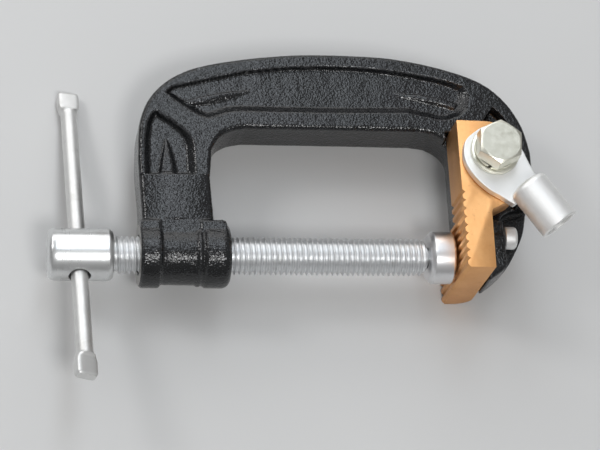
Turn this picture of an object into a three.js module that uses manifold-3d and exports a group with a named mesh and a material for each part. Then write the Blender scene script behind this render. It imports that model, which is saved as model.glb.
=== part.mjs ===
// Screw clamp with a cast iron C frame, a copper contact jaw and a bolted cable lug.
// Units are millimetres and +Z is up.
// The drawing axes start on the screw's axis.
// X runs along the screw towards the jaw and Y runs towards the spine.
// The finished assembly is moved at the end so the origin is the bottom centre of its bounding box.
import * as THREE from 'three';
import { mergeVertices } from 'three/addons/utils/BufferGeometryUtils.js';
import Module from 'manifold-3d';

const wasm = await Module();
wasm.setup();

// Frame casting
const FRAME_HALF = 12;
const WEB_HALF = 8.6;
const EDGE_BREAK = 1.6;
const POCKET_DRAFT = 0.9;
const THROAT_TOP = 61.7;
const THROAT_LEFT = -26;
const THROAT_RIGHT = 94.2;
const LAP_LEVEL = 5.2;
const TAIL_LEVEL = 0.2;
const STEP_Y = 36.5;
const BORE_R = 9.35;

// Boss round the screw
const BOSS_LEFT = -60.6;
const BOSS_RIGHT = -17.6;
const BOSS_R = 15.6;

// Copper jaw
const JAW_X0 = 93.4;
const JAW_BACK = 105.9;
const JAW_TOP = 27.5;
const JAW_BOTTOM = -27.5;
const JAW_END_Y = -14.2;
const TEETH_TOP_Y = 25;
const TOOTH_PITCH = 4.2;
const TOOTH_DEPTH = 1.3;

// Terminal stack on the copper tab
const BOLT_X = 108.3;
const BOLT_Y = 42.7;
const BOLT_R = 5.9;
const LUG_THICK = 4.4;
const LUG_Z = JAW_TOP + 0.3;
const LUG_ANGLE = -55.2;
const BARREL_R = 9.6;
const BARREL_BORE_R = 7.3;
const BARREL_START = 23.5;
const BARREL_LENGTH = 24.2;
const FLAT_WASHER_Z = LUG_Z + LUG_THICK + 0.3;
const FLAT_WASHER_THICK = 1.8;
const SPRING_WASHER_Z = FLAT_WASHER_Z + FLAT_WASHER_THICK + 0.3;
const SPRING_WASHER_THICK = 2.6;
const BOLT_HEAD_Z = SPRING_WASHER_Z + SPRING_WASHER_THICK + 0.3;
const BOLT_HEAD_HEIGHT = 8.2;
const BOLT_FLATS = 20;
const BOLT_TURN = 85;

// Clamp screw, M18 x 2.5
const THREAD_R = 9;
const THREAD_ROOT_R = 7.55;
const THREAD_PITCH = 2.5;
const THREAD_START = -71;
const THREAD_END = 77.4;
const HEAD_START = -103.3;
const HEAD_END = -72.6;
const HEAD_R = 12.5;
const TIP_R = 4.5;

// Tommy bar
const BAR_X = -88.9;
const BAR_R = 4;
const BAR_HOLE_R = 4.85;
const BAR_FAR = 96;
const BAR_NEAR = -67.3;
const BAR_TILT = -15;
const BAR_SKEW = 1.3;

// Pressure pad
const PAD_START = 79.3;
const PAD_END = 91.4;
const PAD_R = 12.9;

// Small screw that holds the jaw's lower end
const JAW_SCREW_Y = 8.2;
const JAW_SCREW_Z = 6.2;

const paint = { color: 0x0d0f10, roughness: 0.28, metalness: 0.15 };
const zinc = { color: 0xc9ccca, roughness: 0.3, metalness: 0.9 };
const nickel = { color: 0xb8b5a0, roughness: 0.34, metalness: 0.9 };
const tin = { color: 0xd2d2cf, roughness: 0.36, metalness: 0.85 };
const copper = { color: 0xd07a3c, roughness: 0.35, metalness: 0.9 };

const group = new THREE.Group();
group.name = 'c_clamp';

function solid(geometry) {
  let g = geometry.clone();
  g.deleteAttribute('normal');
  g.deleteAttribute('uv');
  g = mergeVertices(g, 1e-4);
  const mesh = new wasm.Mesh({
    numProp: 3,
    vertProperties: new Float32Array(g.attributes.position.array),
    triVerts: new Uint32Array(g.index.array),
  });
  return new wasm.Manifold(mesh);
}

function geometryOf(body) {
  const mesh = body.getMesh();
  const g = new THREE.BufferGeometry();
  g.setAttribute('position', new THREE.BufferAttribute(new Float32Array(mesh.vertProperties), 3));
  g.setIndex(new THREE.BufferAttribute(new Uint32Array(mesh.triVerts), 1));
  return g;
}

function addPart(name, body, look) {
  const g = geometryOf(body).toNonIndexed();
  g.computeVertexNormals();
  const mesh = new THREE.Mesh(g, new THREE.MeshStandardMaterial(look));
  mesh.name = name;
  group.add(mesh);
}

function box(x0, x1, y0, y1, z0, z1) {
  const g = new THREE.BoxGeometry(x1 - x0, y1 - y0, z1 - z0);
  g.translate((x0 + x1) / 2, (y0 + y1) / 2, (z0 + z1) / 2);
  return solid(g);
}

// A plate with the given outline between two heights
function plate(shape, z0, z1, segments = 10) {
  const depth = z1 - z0;
  const g = new THREE.ExtrudeGeometry(shape, { depth, bevelEnabled: false, curveSegments: segments });
  g.translate(0, 0, z0);
  return solid(g);
}

// A turned piece from [radius, height] pairs, lying along +Z
function turned(profile, segments = 48) {
  const points = profile.map(([r, h]) => new THREE.Vector2(r, h));
  return solid(new THREE.LatheGeometry(points, segments).rotateX(Math.PI / 2));
}

// A turned piece lying along +X, given as [radius, x] pairs
function turnedX(profile, segments = 48) {
  const points = profile.map(([r, h]) => new THREE.Vector2(r, h));
  return solid(new THREE.LatheGeometry(points, segments).rotateZ(-Math.PI / 2));
}

function rodZ(r, z0, z1, x, y, segments = 40) {
  return turned([[0, z0], [r, z0], [r, z1], [0, z1]], segments).translate([x, y, 0]);
}

function smoothThrough(shape, points) {
  shape.splineThru(points.map(([x, y]) => new THREE.Vector2(x, y)));
}

function outlineOf(start, parts) {
  const shape = new THREE.Shape();
  shape.moveTo(start[0], start[1]);
  for (const part of parts) {
    if (part.curve) {
      smoothThrough(shape, part.curve);
    } else {
      shape.lineTo(part.line[0], part.line[1]);
    }
  }
  shape.closePath();
  return shape;
}

function frameOutline() {
  const outer = [[-60.5, 48], [-59, 65.2], [-52.8, 78.8], [-40.7, 89], [-23.4, 95.2], [4.9, 99.9],
    [30, 101.6], [62.6, 100.8], [87.2, 96.6], [109.6, 88.9], [122.2, 78.2], [129.3, 66], [132.7, 51.5]];
  const tail = [[129, 15], [124, 3.5], [117, -7], [107.5, -14.6]];
  const leftCorner = [[-25.2, 50], [-21, 56.7], [-15, 60.2], [-8, THROAT_TOP]];
  const rightCorner = [[84, 60.6], [90.5, 56.5], [93.8, 51.2], [THROAT_RIGHT, 44]];
  return outlineOf([-59.2, 4], [
    { line: [-59.6, 22] },
    { line: [-60.4, 38] },
    { curve: outer },
    { line: [132.9, 38] },
    { curve: tail },
    { line: [JAW_BACK + 0.4, -14.6] },
    { line: [JAW_BACK + 0.4, 15.4] },
    { line: [THROAT_RIGHT, 15.4] },
    { line: [THROAT_RIGHT, 44] },
    { curve: rightCorner.slice(0, -1).reverse() },
    { line: [76, THROAT_TOP] },
    { line: [-8, THROAT_TOP] },
    { curve: leftCorner.slice(0, -1).reverse() },
    { line: [THROAT_LEFT - 0.4, 36] },
    { line: [-24.6, 4] },
  ]);
}

// Long recess along the spine
function spineRecess() {
  const top = [[-29.7, 86], [-15.4, 89.4], [-1.5, 92.4], [17.8, 94.4], [36.8, 94.9], [55.8, 94.2],
    [74.7, 91.3], [89, 87.4], [101.5, 83.4]];
  const rightEnd = [[102.8, 79.5], [97.5, 72.2], [91.5, 69.2], [83, 69.2], [73, 70.7]];
  const leftEnd = [[-17, 69.7], [-22, 67.7], [-27.2, 67], [-32.3, 68.2], [-36.5, 71]];
  return outlineOf([-44.5, 81.8], [
    { curve: top },
    { curve: rightEnd },
    { line: [-10, 70.9] },
    { curve: leftEnd },
  ]);
}

// Tapered raised strip inside the spine recess
function speedRib(wide, tip) {
  return outlineOf(wide[0], [
    { line: wide[1] },
    { line: tip },
  ]);
}

// Recess in the left leg, below the diagonal rib
function legRecess() {
  const right = [[-44.5, 63], [-39.6, 59.6], [-36.1, 55], [-34.2, 50], [-33.6, 43], [-33.8, STEP_Y]];
  return outlineOf([-52.6, 68.4], [
    { curve: right },
    { line: [-56, STEP_Y] },
    { line: [-56.4, 52.9] },
    { curve: [[-56.2, 60], [-55, 66]] },
  ]);
}

// Half-height ledge along the right side of the leg recess
function legLedge() {
  const inner = [[-46.5, 60.2], [-42.4, 57], [-39.6, 52.5], [-38.2, 46], [-38, STEP_Y + 0.6]];
  return outlineOf([-50, 64], [
    { curve: inner },
    { line: [-32.5, STEP_Y + 0.6] },
    { line: [-32.5, 48] },
    { line: [-38, 62] },
    { line: [-47, 66.5] },
  ]);
}

function legRib() {
  return outlineOf([-47, 56], [
    { line: [-43, STEP_Y - 1] },
    { line: [-47.2, STEP_Y - 1] },
  ]);
}

// Upper end of the right leg's recess, above the copper tab
function shoulderRecess() {
  return outlineOf([106, 62], [
    { line: [115.2, 75.2] },
    { curve: [[120.6, 69.2], [124, 62]] },
  ]);
}

// Open pocket on the outside of the right leg's lower end
function tailPocket() {
  return outlineOf([140, 25.5], [
    { line: [121.5, 22.6] },
    { curve: [[118, 20.6], [116.2, 18.4], [115.8, 15]] },
    { line: [115.8, -20] },
    { line: [140, -20] },
  ]);
}

function bossBody() {
  return turnedX([
    [0, BOSS_LEFT], [14.6, BOSS_LEFT], [BOSS_R, BOSS_LEFT + 1], [BOSS_R, -51.2], [14.2, -50.6],
    [13.9, -49.3], [14.2, -48.6], [14.2, -33.9], [15, -33.2], [15, -32], [14.3, -31.3], [14.6, -30.2],
    [BOSS_R, -29.4], [BOSS_R, -20.8], [15, -19], [13.4, BOSS_RIGHT], [0, BOSS_RIGHT],
  ], 56);
}

// The shape's corner points, anticlockwise and without repeats
function ringOf(shape, segments) {
  const ring = shape.getPoints(segments).filter((p, i, all) => {
    const before = all[(i + all.length - 1) % all.length];
    return p.distanceTo(before) > 0.01;
  });
  return THREE.ShapeUtils.isClockWise(ring) ? ring.reverse() : ring;
}

// The ring moved inwards by a distance, with mitred corners
function insetRing(ring, distance) {
  return ring.map((p, i) => {
    const before = ring[(i + ring.length - 1) % ring.length];
    const after = ring[(i + 1) % ring.length];
    const a = p.clone().sub(before).normalize();
    const b = after.clone().sub(p).normalize();
    const inward = new THREE.Vector2(-a.y - b.y, a.x + b.x).normalize();
    const spread = Math.max(0.5, inward.x * -a.y + inward.y * a.x);
    return p.clone().addScaledVector(inward, distance / spread);
  });
}

// A plate whose wall steps inwards or outwards with height: layers are [z, inset] pairs
function layered(shape, layers, segments = 7) {
  const ring = ringOf(shape, segments);
  const count = ring.length;
  const points = [];
  for (const [z, inset] of layers) {
    for (const p of insetRing(ring, inset)) {
      points.push(p.x, p.y, z);
    }
  }
  const index = [];
  for (let layer = 0; layer + 1 < layers.length; layer += 1) {
    for (let i = 0; i < count; i += 1) {
      const a = layer * count + i;
      const b = layer * count + ((i + 1) % count);
      index.push(a, b, b + count, a, b + count, a + count);
    }
  }
  const top = (layers.length - 1) * count;
  for (const [a, b, c] of THREE.ShapeUtils.triangulateShape(ring, [])) {
    index.push(a, c, b, top + a, top + b, top + c);
  }
  const mesh = new wasm.Mesh({
    numProp: 3,
    vertProperties: new Float32Array(points),
    triVerts: new Uint32Array(index),
  });
  return new wasm.Manifold(mesh);
}

// Shoulders that carry the round boss into the leg
function bossShoulders() {
  const round = turnedX([[0, BOSS_LEFT + 0.2], [17.6, BOSS_LEFT + 0.2], [18.3, BOSS_LEFT + 1.2],
    [18.3, -21.6], [17, -19.4], [0, -18.6]], 56);
  let body = box(BOSS_LEFT + 0.2, -51.2, 0, 14.3, -12.9, 12.9);
  body = body.add(box(-51.3, -31.2, 0, 14.3, -12.3, 12.3));
  body = body.add(box(-31.3, -18, 0, 14.3, -12.9, 12.9));
  return body.intersect(round);
}

// The outline's plate with its long edges broken
function frameBlank() {
  const h = FRAME_HALF;
  const e = EDGE_BREAK;
  return layered(frameOutline(), [
    [-h, e], [-h + e * 0.35, e * 0.35], [-h + e, 0], [h - e, 0], [h - e * 0.35, e * 0.35], [h, e],
  ]);
}

// A pocket with drafted walls, cut into one face of the frame
function pocket(shape, side) {
  const top = FRAME_HALF + 1;
  const slope = POCKET_DRAFT / (top - WEB_HALF);
  if (side > 0) {
    return layered(shape, [[WEB_HALF, POCKET_DRAFT], [top, -slope]], 5);
  }
  return layered(shape, [[-top, -slope], [-WEB_HALF, POCKET_DRAFT]], 5);
}

function frameBody() {
  let body = frameBlank();
  const recessShapes = [spineRecess(), legRecess()];
  for (const side of [1, -1]) {
    for (const shape of recessShapes) {
      body = body.subtract(pocket(shape, side));
    }
    const r0 = side > 0 ? WEB_HALF - 0.5 : -FRAME_HALF + 0.8;
    const r1 = side > 0 ? FRAME_HALF - 0.8 : -WEB_HALF + 0.5;
    body = body.add(plate(speedRib([[-38.4, 75.6], [-34.4, 72.4]], [-5.5, 81.1]), r0, r1));
    body = body.add(plate(speedRib([[97.8, 73.1], [99.6, 77]], [65, 81.3]), r0, r1));
    body = body.add(plate(legRib(), r0, r1));
    body = body.add(plate(legLedge(), side > 0 ? r0 : r0 + 1, side > 0 ? r1 - 1 : r1));
  }
  body = body.subtract(plate(shoulderRecess(), LAP_LEVEL, FRAME_HALF + 1, 5));
  body = body.subtract(box(90, 123.5, 8, 61.2, LAP_LEVEL, FRAME_HALF + 1));
  body = body.add(box(JAW_BACK + 0.4, 115.4, 7, 15.4, LAP_LEVEL - 1, FRAME_HALF - 0.5));
  body = body.subtract(plate(tailPocket(), TAIL_LEVEL, FRAME_HALF + 1, 5));
  body = body.add(bossBody());
  body = body.add(bossShoulders());
  const bore = turnedX([[0, -70], [BORE_R, -70], [BORE_R, -10], [0, -10]], 40);
  body = body.subtract(bore);
  body = body.subtract(rodZ(BOLT_R + 0.3, -14, 14, BOLT_X, BOLT_Y, 32));
  const shank = turnedX([[0, 105], [3.3, 105], [3.3, 118], [0, 118]], 24);
  body = body.subtract(shank.translate([0, JAW_SCREW_Y, JAW_SCREW_Z]));
  return body;
}

function jawOutline() {
  const front = JAW_X0 - TOOTH_DEPTH;
  const shape = new THREE.Shape();
  shape.moveTo(JAW_X0, JAW_END_Y);
  shape.lineTo(JAW_BACK - 0.3, JAW_END_Y);
  shape.lineTo(JAW_BACK, 13);
  shape.quadraticCurveTo(JAW_BACK, 15.5, 108.4, 16.1);
  shape.lineTo(115.7, 20);
  shape.quadraticCurveTo(121, 23, 121, 29.5);
  shape.lineTo(121, 44.5);
  shape.quadraticCurveTo(120.6, 60.5, 105.2, 60.6);
  shape.lineTo(front, 60.8);
  shape.lineTo(front, TEETH_TOP_Y);
  const count = Math.floor((TEETH_TOP_Y - JAW_END_Y) / TOOTH_PITCH);
  for (let i = 0; i < count; i += 1) {
    const y = TEETH_TOP_Y - i * TOOTH_PITCH;
    shape.lineTo(JAW_X0 + 0.2, y - TOOTH_PITCH * 0.28);
    shape.lineTo(front, y - TOOTH_PITCH * 0.62);
    shape.lineTo(front, y - TOOTH_PITCH);
  }
  shape.closePath();
  return shape;
}

function jawBody() {
  let body = plate(jawOutline(), JAW_BOTTOM, JAW_TOP, 8);
  // Only the toothed block reaches down in front of the frame's leg
  body = body.subtract(box(80, 140, 15, 80, JAW_BOTTOM - 1, LAP_LEVEL + 0.3));
  body = body.subtract(box(JAW_BACK + 0.01, 140, 8, 25, JAW_BOTTOM - 1, FRAME_HALF + 0.3));
  // Rounded back corner at the block's lower end
  const corner = box(JAW_BACK - 9, JAW_BACK + 1, -30, 30, JAW_BOTTOM - 1, JAW_BOTTOM + 9);
  const round = turned([[0, -30], [9, -30], [9, 30], [0, 30]], 32).rotate([90, 0, 0]);
  body = body.subtract(corner.subtract(round.translate([JAW_BACK - 9, 0, JAW_BOTTOM + 9])));
  body = body.subtract(rodZ(BOLT_R + 0.3, -30, 30, BOLT_X, BOLT_Y, 32));
  const hole = turnedX([[0, 98], [3.3, 98], [3.3, 110], [0, 110]], 24);
  body = body.subtract(hole.translate([0, JAW_SCREW_Y, JAW_SCREW_Z]));
  return body;
}

function boltBody() {
  const r = BOLT_FLATS / Math.sqrt(3);
  const top = BOLT_HEAD_Z + BOLT_HEAD_HEIGHT;
  const hex = solid(new THREE.CylinderGeometry(r, r, BOLT_HEAD_HEIGHT, 6).rotateX(Math.PI / 2));
  let head = hex.rotate([0, 0, BOLT_TURN - 90]).translate([0, 0, BOLT_HEAD_Z + BOLT_HEAD_HEIGHT / 2]);
  head = head.intersect(turned([[0, BOLT_HEAD_Z], [r + 1, BOLT_HEAD_Z], [r + 1, top - 1.55],
    [BOLT_FLATS / 2 - 0.25, top], [0, top]], 48));
  const shank = turned([[0, -11], [BOLT_R - 1, -11], [BOLT_R, -10], [BOLT_R, BOLT_HEAD_Z + 1],
    [0, BOLT_HEAD_Z + 1]], 32);
  return head.add(shank).translate([BOLT_X, BOLT_Y, 0]);
}

function flatWasherBody() {
  const z0 = FLAT_WASHER_Z;
  const z1 = z0 + FLAT_WASHER_THICK;
  const disc = turned([[0, z0], [11.9, z0], [12, z0 + 0.15], [12, z1 - 0.3], [11.7, z1], [0, z1]], 56);
  const hole = rodZ(BOLT_R + 0.5, z0 - 1, z1 + 1, 0, 0, 40);
  return disc.subtract(hole).translate([BOLT_X, BOLT_Y, 0]);
}

function springWasherBody() {
  const z0 = SPRING_WASHER_Z;
  const z1 = z0 + SPRING_WASHER_THICK;
  const disc = turned([[0, z0], [10.3, z0], [10.6, z0 + 0.3], [10.6, z1 - 0.3], [10.3, z1], [0, z1]], 48);
  const hole = rodZ(BOLT_R + 0.4, z0 - 1, z1 + 1, 0, 0, 40);
  const slot = box(4, 13, -0.5, 0.5, -4, 4).rotate([25, 0, 0]).translate([0, 0, (z0 + z1) / 2]);
  return disc.subtract(hole).subtract(slot.rotate([0, 0, 60])).translate([BOLT_X, BOLT_Y, 0]);
}

// The lug is drawn with its barrel along +X from the bolt hole, then turned
function lugTongue() {
  return outlineOf([-13.6, 1], [
    { curve: [[-12.7, -7.4], [-8, -12.8], [-2.5, -15.4], [3.5, -16], [9, -15.5], [14.5, -14.1],
      [19.5, -11.9], [BARREL_START + 3, -9.2]] },
    { line: [BARREL_START + 3, 9.2] },
    { curve: [[20, 9.6], [14, 10.6], [7, 12.2], [-1, 13.2], [-8.5, 10.4], [-12.6, 5.6], [-13.6, 1]] },
  ]);
}

function lugBody() {
  const z1 = LUG_Z + LUG_THICK;
  const axisZ = LUG_Z + BARREL_R;
  const end = BARREL_START + BARREL_LENGTH;
  let body = plate(lugTongue(), LUG_Z, z1, 8);
  const barrel = turnedX([[0, BARREL_START - 2], [6, BARREL_START - 1.7], [8.4, BARREL_START - 0.8],
    [9.2, BARREL_START], [BARREL_R, BARREL_START + 1.2], [BARREL_R, end - 0.4],
    [BARREL_R - 0.4, end], [0, end]], 48).translate([0, 0, axisZ]);
  body = body.add(barrel);
  const mouth = turnedX([[0, end - 20], [BARREL_BORE_R, end - 19], [BARREL_BORE_R, end + 1],
    [0, end + 1]], 40).translate([0, 0, axisZ]);
  body = body.subtract(mouth);
  body = body.subtract(rodZ(BOLT_R + 0.5, LUG_Z - 1, z1 + 1, 0, 0, 40));
  body = body.subtract(box(-20, 60, -20, 20, LUG_Z - 5, LUG_Z));
  return body.rotate([0, 0, LUG_ANGLE]).translate([BOLT_X, BOLT_Y, 0]);
}

// A right-hand thread as one closed body along +X, later trimmed by the screw's turned outline
function threadBody(x0, x1) {
  const perTurn = 14;
  const turns = Math.ceil((x1 - x0) / THREAD_PITCH) + 2;
  const count = perTurn * turns;
  const points = [];
  const start = x0 - THREAD_PITCH;
  for (let k = 0; k <= count; k += 1) {
    const angle = (2 * Math.PI * k) / perTurn;
    const x = start + (THREAD_PITCH * k) / perTurn;
    const c = Math.cos(angle);
    const s = Math.sin(angle);
    points.push([x, THREAD_R * c, THREAD_R * s]);
    points.push([x + THREAD_PITCH * 0.12, THREAD_R * c, THREAD_R * s]);
    points.push([x + THREAD_PITCH * 0.56, THREAD_ROOT_R * c, THREAD_ROOT_R * s]);
  }
  const index = [];
  const quad = (a, b, c, d) => index.push(a, b, c, a, c, d);
  for (let k = 0; k < count; k += 1) {
    quad(3 * k, 3 * k + 3, 3 * k + 4, 3 * k + 1);
    quad(3 * k + 1, 3 * k + 4, 3 * k + 5, 3 * k + 2);
    const next = k + perTurn;
    if (next < count) {
      quad(3 * k + 2, 3 * k + 5, 3 * next + 3, 3 * next);
    }
  }
  const first = points.length;
  points.push([start - 1, 0, 0]);
  const loopStart = [];
  for (let k = 0; k <= perTurn; k += 1) {
    loopStart.push(3 * k);
  }
  loopStart.push(2);
  loopStart.push(1);
  for (let i = 0; i < loopStart.length; i += 1) {
    index.push(first, loopStart[(i + 1) % loopStart.length], loopStart[i]);
  }
  const last = points.length;
  points.push([start + THREAD_PITCH * (turns + 1), 0, 0]);
  const loopEnd = [];
  for (let k = count - perTurn; k <= count; k += 1) {
    loopEnd.push(3 * k + 2);
  }
  loopEnd.push(3 * count + 1);
  loopEnd.push(3 * count);
  for (let i = 0; i < loopEnd.length; i += 1) {
    index.push(last, loopEnd[i], loopEnd[(i + 1) % loopEnd.length]);
  }
  const g = new THREE.BufferGeometry();
  g.setAttribute('position', new THREE.Float32BufferAttribute(points.flat(), 3));
  g.setIndex(index);
  const mesh = new wasm.Mesh({
    numProp: 3,
    vertProperties: new Float32Array(g.attributes.position.array),
    triVerts: new Uint32Array(index),
  });
  return new wasm.Manifold(mesh);
}

function screwBody() {
  const envelope = turnedX([[0, THREAD_START - 1], [THREAD_ROOT_R, THREAD_START - 1],
    [THREAD_R + 0.2, THREAD_START + 1], [THREAD_R + 0.2, THREAD_END - 1.6],
    [THREAD_ROOT_R - 0.2, THREAD_END], [0, THREAD_END]], 48);
  let body = threadBody(THREAD_START - 2, THREAD_END + 2).intersect(envelope);
  const head = turnedX([[0, HEAD_START], [11.4, HEAD_START], [12.1, HEAD_START + 0.9],
    [HEAD_R, HEAD_START + 3.3], [HEAD_R, HEAD_END - 2.2], [HEAD_R - 0.7, HEAD_END - 0.6],
    [HEAD_R - 2, HEAD_END], [THREAD_ROOT_R + 0.2, HEAD_END], [THREAD_ROOT_R + 0.2, THREAD_START + 0.4],
    [0, THREAD_START + 0.4]], 56);
  body = body.add(head);
  const tip = turnedX([[0, THREAD_END - 1], [6.2, THREAD_END - 1], [6.2, THREAD_END + 1],
    [TIP_R, THREAD_END + 1.4], [TIP_R, 84.4], [3.4, 84.4], [3.4, 85.8], [TIP_R, 85.8],
    [TIP_R, 86.8], [3.9, 87.4], [0, 87.4]], 36);
  body = body.add(tip);
  const hole = turned([[0, -20], [6.6, -20], [6.6, -12.9], [BAR_HOLE_R, -10.6], [BAR_HOLE_R, 10.6],
    [6.6, 12.9], [6.6, 20], [0, 20]], 36);
  return body.subtract(barPlaced(hole.rotate([90, 0, 0])));
}

// Places a piece drawn along Y through the screw head's cross hole
function barPlaced(body) {
  return body.rotate([BAR_TILT, 0, 0]).rotate([0, 0, BAR_SKEW]).translate([BAR_X, 0, 0]);
}

// Flattened end of the tommy bar, pointing along +Y from the origin
function barEnd() {
  const outline = outlineOf([-BAR_R + 0.4, -7], [
    { curve: [[-4.1, -3.5], [-5, 0.5]] },
    { line: [-5.2, 8] },
    { line: [-4.4, 9.6] },
    { line: [4.4, 9.6] },
    { line: [5.2, 8] },
    { line: [5, 0.5] },
    { curve: [[4.1, -3.5], [BAR_R - 0.4, -7]] },
  ]);
  let body = plate(outline, -5, 5, 4);
  const side = outlineOf([-3.4, -7], [
    { line: [-2.75, 1] },
    { line: [-2.6, 9] },
    { line: [-2, 9.7] },
    { line: [2, 9.7] },
    { line: [2.6, 9] },
    { line: [2.75, 1] },
    { line: [3.4, -7] },
  ]);
  const thin = plate(side, -8, 8, 4).rotate([0, 90, 0]);
  body = body.intersect(thin);
  return body;
}

function barBody() {
  const r = BAR_R;
  const rod = turned([[0, BAR_NEAR + 6], [r, BAR_NEAR + 6], [r, BAR_FAR - 6], [0, BAR_FAR - 6]], 32);
  let body = rod.rotate([-90, 0, 0]);
  body = body.add(barEnd().rotate([0, 12, 0]).translate([0, BAR_FAR - 9.7, 0]));
  body = body.add(barEnd().rotate([0, 0, 180]).rotate([0, 24, 0]).translate([0, BAR_NEAR + 9.7, 0]));
  return barPlaced(body);
}

function padBody() {
  const body = turnedX([[0, PAD_START], [11, PAD_START], [11.9, PAD_START + 0.5],
    [PAD_R, PAD_START + 2], [PAD_R, PAD_END - 1], [PAD_R - 1, PAD_END], [0, PAD_END]], 56);
  const socket = turnedX([[0, PAD_START - 1], [TIP_R + 0.35, PAD_START - 1], [TIP_R + 0.35, 84],
    [6.6, 84], [6.6, 86.2], [TIP_R + 0.35, 86.2], [TIP_R + 0.35, 87.8], [0, 87.8]], 36);
  return body.subtract(socket);
}

// Snap ring that keeps the pad on the screw's tip, with its mouth downwards
function snapRingBody() {
  const disc = turnedX([[0, 84.7], [6.3, 84.7], [6.3, 85.5], [0, 85.5]], 36);
  const hole = turnedX([[0, 83], [3.8, 83], [3.8, 87], [0, 87]], 32);
  return disc.subtract(hole).subtract(box(83, 87, -2.2, 2.2, -8, 0));
}

// Socket head screw along X through the leg into the jaw's back
function jawScrewBody() {
  const screw = turnedX([[0, 99], [2.5, 99], [3, 99.5], [3, 116.2], [5, 116.2], [5.6, 116.8],
    [5.6, 121.2], [5.2, 122.2], [4.2, 122.7], [0, 122.7]], 36);
  const r = 5 / Math.sqrt(3);
  const socket = solid(new THREE.CylinderGeometry(r, r, 4, 6).rotateZ(Math.PI / 2)).translate([121.7, 0, 0]);
  return screw.subtract(socket).translate([0, JAW_SCREW_Y, JAW_SCREW_Z]);
}

addPart('c_frame', frameBody(), paint);
addPart('copper_jaw', jawBody(), copper);
addPart('jaw_screw', jawScrewBody(), zinc);
addPart('cable_lug', lugBody(), tin);
addPart('flat_washer', flatWasherBody(), nickel);
addPart('spring_washer', springWasherBody(), nickel);
addPart('terminal_bolt', boltBody(), nickel);
addPart('clamp_screw', screwBody(), zinc);
addPart('tommy_bar', barBody(), zinc);
addPart('pressure_pad', padBody(), zinc);
addPart('snap_ring', snapRingBody(), zinc);

// Origin to the bottom centre of the whole assembly
const bounds = new THREE.Box3().setFromObject(group);
const middle = bounds.getCenter(new THREE.Vector3());
for (const mesh of group.children) {
  mesh.geometry.translate(-middle.x, -middle.y, -bounds.min.z);
}

export default group;
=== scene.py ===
"""Looks for the screw clamp with a copper contact jaw and a cable lug.

Shapes are worked out in drawing axes, in millimetres: they start on the clamp screw's axis, with X along the
screw towards the jaw, Y towards the spine and Z up. to_row() turns them into the row frame, in metres.
"""
import math

import bmesh
import bpy
import numpy as np
from mathutils import Matrix, Vector


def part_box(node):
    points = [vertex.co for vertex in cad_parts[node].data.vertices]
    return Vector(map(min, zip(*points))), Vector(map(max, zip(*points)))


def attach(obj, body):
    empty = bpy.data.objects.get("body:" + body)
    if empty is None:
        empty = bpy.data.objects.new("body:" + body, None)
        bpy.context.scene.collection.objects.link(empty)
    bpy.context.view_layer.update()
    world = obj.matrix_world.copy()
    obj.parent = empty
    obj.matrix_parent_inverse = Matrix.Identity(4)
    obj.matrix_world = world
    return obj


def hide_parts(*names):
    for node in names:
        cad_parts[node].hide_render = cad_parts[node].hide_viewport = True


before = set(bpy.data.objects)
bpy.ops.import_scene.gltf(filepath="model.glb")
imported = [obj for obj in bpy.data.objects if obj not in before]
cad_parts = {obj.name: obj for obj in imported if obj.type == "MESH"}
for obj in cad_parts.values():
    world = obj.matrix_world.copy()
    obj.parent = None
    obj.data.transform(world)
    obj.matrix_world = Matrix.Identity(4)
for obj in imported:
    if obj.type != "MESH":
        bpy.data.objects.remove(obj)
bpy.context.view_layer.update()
scene = bpy.context.scene

# ---------------------------------------------------------------- drawing axes
HEAD_START = -103.3
low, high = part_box("clamp_screw")
ORIGIN = np.array([low.x * 1000 - HEAD_START, (low.y + high.y) * 500, (low.z + high.z) * 500])

# Clamp screw
HEAD_END = -72.6
HEAD_R = 12.45
THREAD_START = -72.3
THREAD_END = 77.3
THREAD_R = 8.97
THREAD_ROOT = 7.6
PITCH = 2.5
TIP_R = 4.45
TIP_END = 87.3

# Sliding handle: its place on the screw and its ends along its own axis. In degrees: its tilt and skew,
# and how far the flat at each end is turned round that axis
BAR_X = -88.9
BAR_R = 3.98
BAR_FAR = 96.0
BAR_NEAR = -67.3
BAR_TILT = -15.0
BAR_SKEW = 1.3
NEAR_TURN = 24
FAR_TURN = 12
HOLE_R = 4.7

# Pressure pad
PAD_START = 79.35
PAD_END = 91.3
PAD_R = 12.75

# Casting: places and depths, and the grid sizes on which the casting and the lug are remeshed
BOSS_LEFT = -60.6
CASTING_VOXEL = 0.5
LUG_VOXEL = 0.34
SPINE_DEPTH = 2.7
LEG_DEPTH = 3.3
BLOCK_TOP = 37.0
BLOCK_MIDDLE = -43.0
LAP_X = 88
TAIL_FACE_X = 106.9

# Cap screw behind the jaw
CAP_Y = 8.2
CAP_Z = 6.2
CAP_R = 5.55
CAP_START = 116.2
CAP_END = 122.6

# Lug bolt and the washers under it
BOLT = (108.3, 42.7)
WASHER_Z = 32.5
WASHER_HIGH = 1.75
WASHER_R = 11.95
SPRING_Z = 34.6
HEX_Z = 37.5
HEX_HIGH = 8.15
HEX_FLATS = 20.0
HEX_TURN = 85.0
SHANK_R = 5.9
SHANK_END = -10.95


def to_row(points):
    """Drawing axes in millimetres to the row frame in metres."""
    return (np.asarray(points, float) + ORIGIN) / 1000


def to_drawing(points):
    """The row frame in metres to drawing axes in millimetres."""
    return np.asarray(points, float) * 1000 - ORIGIN


# ---------------------------------------------------------------- mesh helpers
def link(name, mesh):
    """A new object in the scene."""
    ob = bpy.data.objects.new(name, mesh)
    scene.collection.objects.link(ob)
    return ob


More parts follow.
